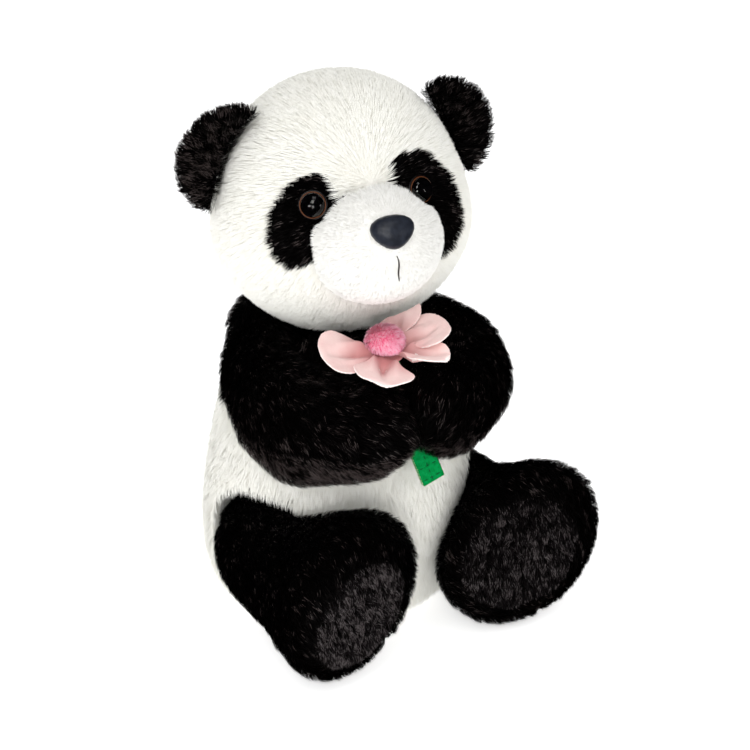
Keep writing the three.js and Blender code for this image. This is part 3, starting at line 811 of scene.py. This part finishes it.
def turned(name, centre, axis, profile, segments=72):
    """A lathed surface round an axis. profile holds (radius, height) pairs in mm and leaves no opening."""
    out = Vector(axis).normalized()
    side = out.orthogonal().normalized()
    over = out.cross(side)
    bm = bmesh.new()
    rings = []
    for radius, height in profile:
        middle = Vector(centre) + out * height * MM
        if radius < 1e-6:
            rings.append([bm.verts.new(middle)])
            continue
        ring = []
        for number in range(segments):
            angle = 2 * math.pi * number / segments
            spoke = side * math.cos(angle) + over * math.sin(angle)
            ring.append(bm.verts.new(middle + spoke * radius * MM))
        rings.append(ring)
    for low, high in zip(rings, rings[1:]):
        for number in range(segments):
            after = (number + 1) % segments
            loop = [low[number % len(low)], low[after % len(low)]]
            loop += [high[after % len(high)], high[number % len(high)]]
            different = list(dict.fromkeys(loop))
            if len(different) > 2:
                bm.faces.new(different)
    bmesh.ops.recalc_face_normals(bm, faces=bm.faces)
    mesh = mesh_from(name, bm)
    mesh.shade_smooth()
    return new_object(name, mesh)


def arc(radius, height, start, steps=10):
    """Points of an elliptical arc from the angle start up to the axis, as (radius, height) pairs."""
    angles = [math.radians(start + (90 - start) * k / steps) for k in range(steps + 1)]
    return [(radius * math.cos(t), height * math.sin(t)) for t in angles]


def make_eyes():
    black = flat_material("eye_black", (0.004, 0.003, 0.003), roughness=0.2, specular=0.4)
    grained(black, 900, 0.02, 0.0001)
    inner = flat_material("eye_inner", (0.002, 0.0015, 0.002), roughness=0.6, specular=0)
    mottled(inner, 400, (0.001, 0.001, 0.0015), (0.003, 0.0025, 0.003))
    amber = flat_material("eye_amber", (0.10, 0.03, 0.008), roughness=0.3, specular=0.2)
    mottled(amber, 1500, (0.06, 0.015, 0.003), (0.13, 0.038, 0.008))
    clear = flat_material("eye_clear", (1, 1, 1), roughness=0.02)
    shader_of(clear).inputs["Transmission Weight"].default_value = 1
    shader_of(clear).inputs["IOR"].default_value = 1.45
    for side in SIDES:
        make_eye(side, black, inner, amber, clear)


def make_eye(side, black, inner, amber, clear):
    """A black button with a rolled rim, an amber ring, and a dark ball under a clear dome."""
    dome = corners([f"eye_dome_{side}"])
    plate = corners([f"eye_plate_{side}"])
    middle = dome.mean(axis=0)
    axis = unit(middle - plate.mean(axis=0))
    heights = (dome - middle) @ axis
    foot = middle + axis * heights.min()
    rise = np.ptp(heights) / MM
    wide = np.linalg.norm((dome - middle) - np.outer(heights, axis), axis=1).max() / MM
    profiles = {  # (radius, height) in mm from the dome's foot, by the dome's own radius and rise
        f"eye_plate_{side}_rim": [
            (0, -1.4), (wide * 0.9, -1.4), (wide + 0.25, -1.1), (wide + 0.5, -0.5), (wide + 0.45, 0.1),
            (wide + 0.1, 0.42), (wide - 0.3, 0.3), (wide - 0.5, 0.05), (0, 0.02),
        ],
        f"eye_ring_{side}": [
            (wide - 0.15, 0.30), (wide - 0.2, 0.5), (wide - 0.4, 0.58), (wide - 0.65, 0.5),
            (wide - 0.7, 0.2), (wide - 0.4, 0.1), (wide - 0.15, 0.30),
        ],
        f"eye_pupil_{side}": [(0, 0.1), (wide - 0.75, 0.1), *arc(wide - 0.75, rise * 0.86, start=8)],
        f"eye_lens_{side}": [(0, 0.06), (wide - 0.5, 0.06), *arc(wide - 0.5, rise, start=4)],
    }
    for (name, profile), material in zip(profiles.items(), (black, amber, inner, clear)):
        piece = turned(name, foot, axis, profile)
        piece.data.materials.append(material)
        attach(piece, "head")
    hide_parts(f"eye_plate_{side}", f"eye_washer_{side}")
    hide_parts(f"eye_dome_{side}")


def make_nose_and_mouth():
    nose = copied("nose_button", ["nose"])
    remeshed(nose, 0.0005)
    smoothed(nose, 10)
    subdivided(nose)
    slate = flat_material("nose_slate", (0.02, 0.023, 0.032), roughness=0.34, specular=0.4)
    mottled(slate, 260, (0.011, 0.013, 0.020), (0.019, 0.023, 0.034))
    grained(slate, 2600, 0.25, 0.0003, detail=2)
    coloured(nose, slate)
    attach(nose, "head")
    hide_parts("nose", "nose_washer")

    thread = flat_material("mouth_thread", (0.03, 0.022, 0.02), roughness=0.7, sheen=0.2)
    mottled(thread, 1200, (0.015, 0.010, 0.009), (0.05, 0.036, 0.032))
    grained(thread, 3000, 0.6, 0.0003)
    mouth = thin_thread("mouth_stitch_thread", stitch_line("mouth_stitch"), radius=0.42)
    mouth.data.materials.append(thread)
    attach(mouth, "head")
    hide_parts("mouth_stitch")


MOUTH_SHARE = 0.82  # of the CAD stitch's height
MOUTH_BAND = 1.2 * MM  # how far up and down the CAD's points count for one point of the line
MOUTH_BEND = 0.4 * MM
MOUTH_DRIFT = 0.8 * MM


def stitch_line(name, steps=14):
    """The middle line of a CAD stitch from its top downwards, bent a little to one side and back."""
    co = corners([name])
    high, low = co[:, 2].max(), co[:, 2].min()
    levels = high - (high - low) * MOUTH_SHARE * np.linspace(0.02, 1, steps)
    line = []
    for level, share in zip(levels, np.linspace(0, 1, steps)):
        weight = np.exp(-((co[:, 2] - level) / MOUTH_BAND) ** 2)
        point = (co * weight[:, None]).sum(axis=0) / weight.sum()
        bend = math.sin(2.2 * math.pi * share) * MOUTH_BEND + share * MOUTH_DRIFT
        line.append(Vector((point[0] + bend, point[1] - 0.3 * MM, level)))
    return line


def thin_thread(name, line, radius, around=10):
    """A closed round thread along a line of points, thinner at both ends; radius in mm."""
    bm = bmesh.new()
    rings = []
    last = len(line) - 1
    for number, point in enumerate(line):
        way = (line[min(number + 1, last)] - line[max(number - 1, 0)]).normalized()
        side = way.cross(Vector((0, 1, 0))).normalized()
        over = way.cross(side)
        taper = 0.45 + 0.55 * math.sin(math.pi * (number + 0.6) / (last + 1.2))
        here = radius * MM * taper
        rings.append([
            bm.verts.new(point + (side * math.cos(t) + over * math.sin(t)) * here)
            for t in (2 * math.pi * k / around for k in range(around))
        ])
    for low, high in zip(rings, rings[1:]):
        for k in range(around):
            bm.faces.new([low[k], low[(k + 1) % around], high[(k + 1) % around], high[k]])
    bm.faces.new(rings[0])
    bm.faces.new(rings[-1])
    bmesh.ops.recalc_face_normals(bm, faces=bm.faces)
    mesh = mesh_from(name, bm)
    mesh.shade_smooth()
    return new_object(name, mesh)


# ---------------------------------------------------------------- flower

PETALS = range(1, 6)
# The third petal is cut narrower, and the fifth is trimmed short under the chin.
PETAL_HALF = 0.013  # the relief's unit, about half a petal
PETAL_WAVES = 5
EDGE_FACING = {"petal": 0.55, "stem": 0.4}  # below this share towards the flat side, a face is a cut edge


def painted_shade_near(material, point, near, far, colour):
    """Blends the base colour into a darker one near a point: painted shade, as in the folds at a flower's
    middle.
    """
    tree = material.node_tree
    shader = shader_of(material)
    source = shader.inputs["Base Color"].links[0].from_socket
    place = tree.nodes.new("ShaderNodeTexCoord")
    away = tree.nodes.new("ShaderNodeVectorMath")
    away.operation = "DISTANCE"
    away.inputs[1].default_value = point
    tree.links.new(place.outputs["Object"], away.inputs[0])
    share = tree.nodes.new("ShaderNodeMapRange")
    share.inputs["From Min"].default_value = near
    share.inputs["From Max"].default_value = far
    tree.links.new(away.outputs["Value"], share.inputs["Value"])
    mix = tree.nodes.new("ShaderNodeMix")
    mix.data_type = "RGBA"
    for socket in mix.inputs:
        if socket.type == "RGBA" and socket.name == "A":
            socket.default_value = (*colour, 1)
        if socket.type == "RGBA" and socket.name == "B":
            tree.links.new(source, socket)
    tree.links.new(share.outputs["Result"], mix.inputs["Factor"])
    result = next(socket for socket in mix.outputs if socket.type == "RGBA")
    tree.links.new(result, shader.inputs["Base Color"])


def make_flower():
    hub = corners(["flower_base"]).mean(axis=0)
    petal = flat_material("petal_suede", (0.88, 0.63, 0.61), roughness=0.85, specular=0.1, sheen=0.2)
    mottled(petal, 130, (0.84, 0.58, 0.56), (0.90, 0.69, 0.66), 0.3, 0.7)
    # Painted shade: the petals darken towards the hub, where their folds lie in shade.
    painted_shade_near(petal, tuple(hub), 0.010, 0.024, (0.62, 0.27, 0.27))
    grained(petal, 1500, 0.35, 0.0004)
    edge = flat_material("petal_edge", (0.93, 0.80, 0.77), roughness=0.9, specular=0.1, sheen=0.2)
    mottled(edge, 900, (0.88, 0.74, 0.71), (0.95, 0.88, 0.85))
    grained(edge, 2500, 0.6, 0.0004)
    for number in PETALS:
        make_petal(number, hub, petal, edge)
    make_petal_roots(hub, petal)

    puff = Skin("flower_centre_skin", "flower", {"flower_centre": "centre_plush"}, [],
                inset=0.0008, voxel=0.0012, swell=0.0006)
    grow("flower_centre_pile", puff, ["flower_centre"], "centre_plush", towards((0.3, -0.5, -0.8)),
         length=0.0021, per_cm2=1000, lean=(18, 58), width=0.24, clump=0.3, tuft=14, soft=0.7)


def make_petal_roots(hub, material):
    """The gathered roots of the petals, a low disc over the flower's base."""
    thin = own_axes(corners(["flower_base"]))[:, 0]
    up = thin * np.sign(thin[2])
    profile = [(0, 2.6), (5.5, 2.5), (8.2, 2.1), (9.0, 1.5), (8.4, 1.0), (0, 0.9)]
    roots = turned("petal_roots", hub, up, profile)
    roots.data.materials.append(material)
    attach(roots, "flower")


def petal_relief(rng, s, t):
    """How far a petal's cloth stands up in mm, at s along it and t across it from its middle."""
    wave = np.zeros(len(s))
    for _ in range(PETAL_WAVES):
        angle = rng.normal(0, 0.5)
        slant = t * math.cos(angle) + s * math.sin(angle)
        wave += np.sin(slant * rng.uniform(3, 9) + rng.uniform(0, 6)) * 0.2
    fading_out = np.clip(0.7 - s, 0, 1.2)
    fading_in = np.clip((s + 1.0) / 0.5, 0, 1)
    crease = -np.exp(-(t / 0.16) ** 2) * fading_out * fading_in
    pleat = np.exp(-((np.abs(t) - 0.42) / 0.14) ** 2) * np.clip(0.2 - s, 0, 1)
    curl = np.clip(np.hypot(s * 0.8, t) - 0.55, 0, 1) ** 2
    return wave * 0.7 + crease * 3.2 + pleat * 2.2 + curl * 3.4


def make_petal(number, hub, face_material, edge_material):
    name = f"petal_{number}"
    made = copied(f"{name}_cloth", [name])
    remeshed(made, 0.0005)
    smoothed(made, 8)
    co = coordinates(made.data)
    middle = co.mean(axis=0)
    thin = own_axes(co)[:, 0]
    out = unit(middle - hub - thin * ((middle - hub) @ thin))
    across = np.cross(thin, out)
    rng = np.random.default_rng(100 + number)
    rise = petal_relief(rng, (co - middle) @ out / PETAL_HALF, (co - middle) @ across / PETAL_HALF)
    set_coordinates(made.data, co + thin[None] * np.sign(thin[2]) * (rise * MM)[:, None])
    made.data.shade_smooth()
    coloured(made, face_material, edge_material)
    facing = np.abs(face_vectors(made.data, "normal") @ thin)
    outside = (face_vectors(made.data, "center") - middle) @ out > -0.006
    cut = (facing < EDGE_FACING["petal"]) & outside
    made.data.polygons.foreach_set("material_index", cut.astype(np.int32))
    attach(made, "flower")
    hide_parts(name)


def strip_axes(name):
    """A CAD strip's middle, the ways down it, across it and out of its front, and its length."""
    co = corners([name])
    middle = (co.max(axis=0) + co.min(axis=0)) / 2
    out, across, down = own_axes(co).T
    down = down if down[2] < 0 else -down
    out = out if out[1] < 0 else -out
    return middle, down, across, out, np.ptp(co @ down)


def make_stem():
    green = flat_material("stem_green", (0.001, 0.25, 0.05), roughness=0.9, specular=0.02)
    mottled(green, 500, (0.0005, 0.17, 0.034), (0.002, 0.26, 0.062))
    grained(green, 1400, 0.6, 0.0006)
    cut_edge = flat_material("stem_cut_edge", (0.50, 0.58, 0.38), roughness=0.9, specular=0.05)
    mottled(cut_edge, 900, (0.30, 0.45, 0.22), (0.66, 0.68, 0.52))
    for name in ("stem_front", "stem_back"):
        made = copied(f"{name}_felt", [name])
        remeshed(made, 0.0006)
        smoothed(made, 3)
        made.data.shade_smooth()
        coloured(made, green, cut_edge)
        thin = strip_axes(name)[3]
        cut = np.abs(face_vectors(made.data, "normal") @ thin) < EDGE_FACING["stem"]
        made.data.polygons.foreach_set("material_index", cut.astype(np.int32))
        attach(made, "flower")
        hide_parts(name)
    base = nodes["flower_base"]
    coloured(base, green)


STITCH_HALF = (0.0012, 0.00026, 0.00022)  # half a stitch's length, width and height
STITCH_STEP = 0.0036
STITCH_ROW = range(17)
FIRST_STITCH = 0.0030  # above the foot
CROSS_ROWS = (0.0032, 0.0094)
CROSS_STITCHES = (-0.0034, 0, 0.0034)
STITCH_LIFT = 0.0006


def make_stem_stitches():
    """A row of dark stitches down the stem's front and two short rows across it near the foot."""
    thread = flat_material("stem_thread", (0.003, 0.05, 0.02), roughness=0.8, specular=0.05)
    mottled(thread, 1800, (0.002, 0.03, 0.012), (0.004, 0.07, 0.028))
    middle, down, across, out, length = strip_axes("stem_front")
    foot = middle + down * length / 2 + out * STITCH_LIFT
    places = [(FIRST_STITCH + STITCH_STEP * number, 0, down) for number in STITCH_ROW]
    places += [(height, sideways, across) for height in CROSS_ROWS for sideways in CROSS_STITCHES]
    long, wide, high = STITCH_HALF
    bm = bmesh.new()
    for height, sideways, way in places:
        centre = foot - down * height + across * sideways
        other = np.cross(way, out)
        made = bmesh.ops.create_uvsphere(bm, u_segments=10, v_segments=6, radius=1)
        for vertex in made["verts"]:
            x, y, z = vertex.co
            vertex.co = Vector(centre + way * x * long + other * y * wide + out * z * high)
    mesh = mesh_from("stem_stitches", bm)
    mesh.shade_smooth()
    mesh.materials.append(thread)
    made = new_object("stem_stitches", mesh)
    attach(made, "flower")


# ---------------------------------------------------------------- build

make_camera()
make_stage()
scene.view_settings.view_transform = "Standard"
make_head()
make_ears()
make_torso()
make_tail()
make_neck_ring()
make_arms()
make_legs()
make_eyes()
make_nose_and_mouth()
make_flower()
make_stem()
make_stem_stitches()
